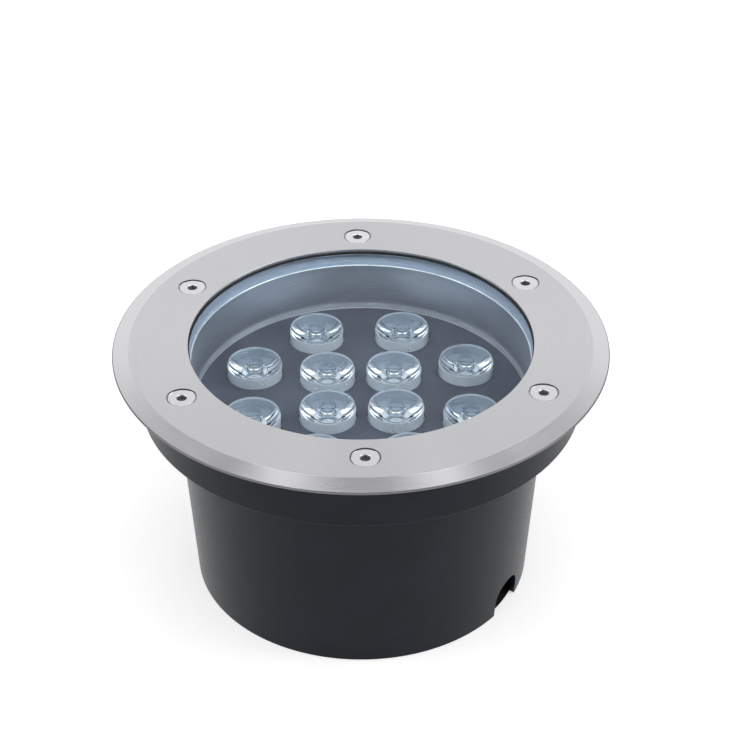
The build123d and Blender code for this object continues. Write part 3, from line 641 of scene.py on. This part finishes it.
def sleeve():
    """Moulded sleeve: rounded collar, soft corner under it, eased rim and cable notch."""
    high = box_mm("sleeve")[1]
    top, outer = high.z, high.y
    pot = finish_mesh("sleeve_moulding", lathe([
        (SLEEVE_FOOT[1], 0, SLEEVE_FOOT_ROUND[1]),
        (SLEEVE_WALL[1], COLLAR_BOTTOM, SLEEVE_WALL_ROUND[1]),
        (outer, COLLAR_BOTTOM, COLLAR_BOTTOM_ROUND),
        (outer, top, COLLAR_TOP_ROUND[1]),
        (COLLAR_INNER, top, COLLAR_TOP_ROUND[0]),
        (COLLAR_INNER, COLLAR_FLOOR, COLLAR_FLOOR_ROUND),
        (SLEEVE_WALL[0], COLLAR_FLOOR, SLEEVE_WALL_ROUND[0]),
        (SLEEVE_FOOT[0], 0, SLEEVE_FOOT_ROUND[0]),
    ], WIDE_SEGMENTS))
    carve(pot, [notch_cutter()])
    ease = pot.modifiers.new("eased_edges", "BEVEL")
    ease.width = SLEEVE_EASE * MM
    ease.segments = SLEEVE_EASE_SEGMENTS
    ease.limit_method = "ANGLE"
    ease.angle_limit = SLEEVE_EASE_ANGLE
    show(pot, "sleeve")


def inner_bezel():
    """Spun bezel: a rolled edge at its top and a hollow curve into its foot."""
    low, high = box_mm("inner_bezel")
    flange, top, foot = high.y, high.z, low.z
    foot_inner = BEZEL_INNER - BEZEL_COVE - BEZEL_FOOT
    bezel = finish_mesh("inner_bezel_spun", lathe([
        (foot_inner, foot, 0),
        (BEZEL_OUTER, foot, 0),
        (BEZEL_OUTER, top - BEZEL_WALL, 0),
        (flange, top - BEZEL_WALL, 0),
        (flange, top, BEZEL_FLANGE_ROUND),
        (BEZEL_INNER, top, BEZEL_EDGE_ROUND),
        (BEZEL_INNER, foot + BEZEL_FOOT, BEZEL_COVE),
        (foot_inner, foot + BEZEL_FOOT, 0),
    ], WIDE_SEGMENTS))
    show(bezel, "inner_bezel")


def front_glass():
    """Clear pane with a ground chamfer at both edges."""
    low, high = box_mm("front_glass")
    outer = high.y
    pane = finish_mesh("front_glass_pane", lathe([
        (0, low.z, 0),
        (outer - GLASS_CHAMFER, low.z, GLASS_ROUND),
        (outer, low.z + GLASS_CHAMFER, GLASS_ROUND),
        (outer, high.z - GLASS_CHAMFER, GLASS_ROUND),
        (outer - GLASS_CHAMFER, high.z, GLASS_ROUND),
        (0, high.z, 0),
    ], WIDE_SEGMENTS))
    show(pane, "front_glass")


def bowed(start, end, bow):
    """Outline corners along a shallow curve between two (radius, height) points, bowed away from the axis."""
    first, last = Vector(start), Vector(end)
    run = last - first
    away = Vector((run.y, -run.x)).normalized()
    points = []
    for k in range(CURVE_STEPS + 1):
        share = k / CURVE_STEPS
        point = first + run * share + away * bow * 4 * share * (1 - share)
        points.append((point.x, point.y, 0))
    return points


def lens(number):
    """Moulded collimator: polished well, cone and stem, a rounded rim and a domed pocket."""
    node = f"lens_{number:02d}"
    low, high = box_mm(node)
    top, foot, rim = high.z, low.z, box_mm(f"lens_holder_{number:02d}")[1].z
    radius = (high.x - low.x) / 2
    pocket_edge = foot + LENS_POCKET_DEPTH
    well_foot = top - LENS_WELL_DEPTH
    pocket_middle = (0, pocket_edge - LENS_POCKET_DOME)
    side_foot = (LENS_STEM_RADIUS, foot + LENS_STEM_HEIGHT)
    outline = bowed(pocket_middle, (LENS_POCKET_TOP_RADIUS, pocket_edge), LENS_POCKET_BOW)
    outline += [(LENS_POCKET_RADIUS, foot, 0), (LENS_STEM_RADIUS, foot, 0)]
    outline += bowed(side_foot, (radius - LENS_NECK, rim), LENS_SIDE_BULGE)
    outline += [
        (radius, rim, 0),
        (radius, top, LENS_EDGE_ROUND),
        (LENS_WELL_RADIUS, top, LENS_WELL_ROUND),
        (LENS_WELL_FOOT_RADIUS, well_foot, LENS_WELL_FOOT_ROUND),
        (0, well_foot, 0),
    ]
    moulding = finish_mesh(f"lens_{number:02d}_moulding", lathe(outline, LENS_SEGMENTS))
    moulding.location = ((low + high) / 2).xy.to_3d() * MM
    show(moulding, node)


trim_ring()
for number in range(1, SCREW_COUNT + 1):
    trim_screw(number)
sleeve()
inner_bezel()
front_glass()
for number in range(1, LENS_COUNT + 1):
    lens(number)


def outward(azimuth, elevation):
    """Direction from the object, its azimuth from the -Y axis towards +X; angles in radians."""
    level = math.cos(elevation)
    return Vector((math.sin(azimuth) * level, -math.cos(azimuth) * level, math.sin(elevation)))


# Camera at the photograph's view
AZIMUTH = math.radians(28.545)
ELEVATION = math.radians(34.323)
AIM = Vector((-18.25, 44.147, 50.0)) * MM
DISTANCE = 780.27 * MM
FOCAL_LENGTH = 94.388
SENSOR_WIDTH = 36.0

back = outward(AZIMUTH, ELEVATION)
camera = bpy.data.objects.new("camera", bpy.data.cameras.new("camera"))
camera.data.lens = FOCAL_LENGTH
camera.data.sensor_width = SENSOR_WIDTH
camera.location = AIM + back * DISTANCE
camera.rotation_euler = back.to_track_quat("Z", "Y").to_euler()
bpy.context.scene.collection.objects.link(camera)
bpy.context.scene.camera = camera

# Studio, in metres: a white world and floor, and five soft boxes aimed at the object
SKY_SOFT = 0.5
SKY_GLOSSY = ((0.45, 1.0), (0.85, 0.4))
SKY_TRANSMITTED = ((0.45, 1.0), (0.8, 0.6))
FLOOR_RADIUS = 6.0
FLOOR_SEGMENTS = 64
FLOOR_PALE = 0.9
FLOOR_PAINTED_SHADE = 0.02
FLOOR_GLOW = 0.5
LAMP_TARGET = Vector((0, 0, 0.06))
LAMP_DISTANCE = 1.2

# Name, turn from the camera's side and elevation in degrees, width and depth in metres, watts
LAMPS = (
    ("lamp_behind_left", -157.0, 65.0, 0.2, 0.2, 0.25),
    ("lamp_left", -85.0, 44.0, 0.6, 0.6, 1.8),
    ("lamp_behind_right", 157.0, 65.0, 0.2, 0.2, 0.25),
    ("lamp_right", 85.0, 44.0, 0.6, 0.6, 2.9),
    ("lamp_front", 0.0, 72.0, 1.4, 0.3, 3.0),
)


def studio_world():
    """White to the camera, a soft light for the rest, and a sky that dims overhead in metal and glass."""
    world = bpy.data.worlds.new("studio")
    world.use_nodes = True
    tree = world.node_tree
    tree.nodes.clear()
    path = tree.nodes.new("ShaderNodeLightPath")
    direction = tree.nodes.new("ShaderNodeTexCoord").outputs["Generated"]
    height = add(tree, "SeparateXYZ", Vector=direction).outputs["Z"]
    shown = add(tree, "Background", Color=WHITE, Strength=SKY_SOFT).outputs["Background"]
    looks = (
        ("Is Glossy Ray", ramp(tree, height, *SKY_GLOSSY)),
        ("Is Transmission Ray", ramp(tree, height, *SKY_TRANSMITTED)),
        ("Is Camera Ray", WHITE),
    )
    for ray, colour in looks:
        look = add(tree, "Background", Color=colour, Strength=1.0)
        shown = mix_shaders(tree, path.outputs[ray], shown, look.outputs["Background"])
    output = tree.nodes.new("ShaderNodeOutputWorld")
    tree.links.new(shown, output.inputs["Surface"])
    return world


def soft_box(name, turn, elevation, width, depth, watts):
    """An area lamp aimed at the object."""
    lamp = bpy.data.lights.new(name, "AREA")
    lamp.shape = "RECTANGLE"
    lamp.size = width
    lamp.size_y = depth
    lamp.energy = watts
    thing = bpy.data.objects.new(name, lamp)
    away = outward(AZIMUTH + math.radians(turn), math.radians(elevation))
    thing.location = LAMP_TARGET + away * LAMP_DISTANCE
    thing.rotation_euler = away.to_track_quat("Z", "Y").to_euler()
    bpy.context.scene.collection.objects.link(thing)


def studio_floor():
    """A wide floor, painted dark inside the sleeve as painted shade. Outside it is pale and glows a little,
    and keeps the shadow.
    """
    mesh = bmesh.new()
    bmesh.ops.create_circle(mesh, cap_ends=True, segments=FLOOR_SEGMENTS, radius=FLOOR_RADIUS)
    floor = finish_mesh("floor", mesh)
    material, tree, shader = new_material("floor_white")
    put(shader, Roughness=0.8, Specular_IOR_Level=0.1)
    path = tree.nodes.new("ShaderNodeLightPath")
    seen = maths(tree, "MAXIMUM", path.outputs["Is Camera Ray"], path.outputs["Is Glossy Ray"])
    seen = maths(tree, "MAXIMUM", seen, path.outputs["Is Transmission Ray"])
    outside = maths(tree, "GREATER_THAN", around_axis(tree)[2], SLEEVE_FOOT[0] * MM)
    # Painted shade: the floor is dark inside the sleeve's foot
    tone = maths(tree, "ADD", maths(tree, "MULTIPLY", outside, FLOOR_PALE - FLOOR_PAINTED_SHADE), FLOOR_PAINTED_SHADE)
    tree.links.new(tone, shader.inputs["Base Color"])
    strength = maths(tree, "MULTIPLY", maths(tree, "MULTIPLY", seen, outside), FLOOR_GLOW)
    glow = add(tree, "Emission", Color=WHITE, Strength=strength)
    both = tree.nodes.new("ShaderNodeAddShader")
    tree.links.new(shader.outputs["BSDF"], both.inputs[0])
    tree.links.new(glow.outputs["Emission"], both.inputs[1])
    tree.links.new(both.outputs["Shader"], tree.nodes["Material Output"].inputs["Surface"])
    floor.data.materials.append(material)
    bpy.context.scene.collection.objects.link(floor)


bpy.context.scene.world = studio_world()
bpy.context.scene.view_settings.view_transform = "Standard"
studio_floor()
for lamp_settings in LAMPS:
    soft_box(*lamp_settings)
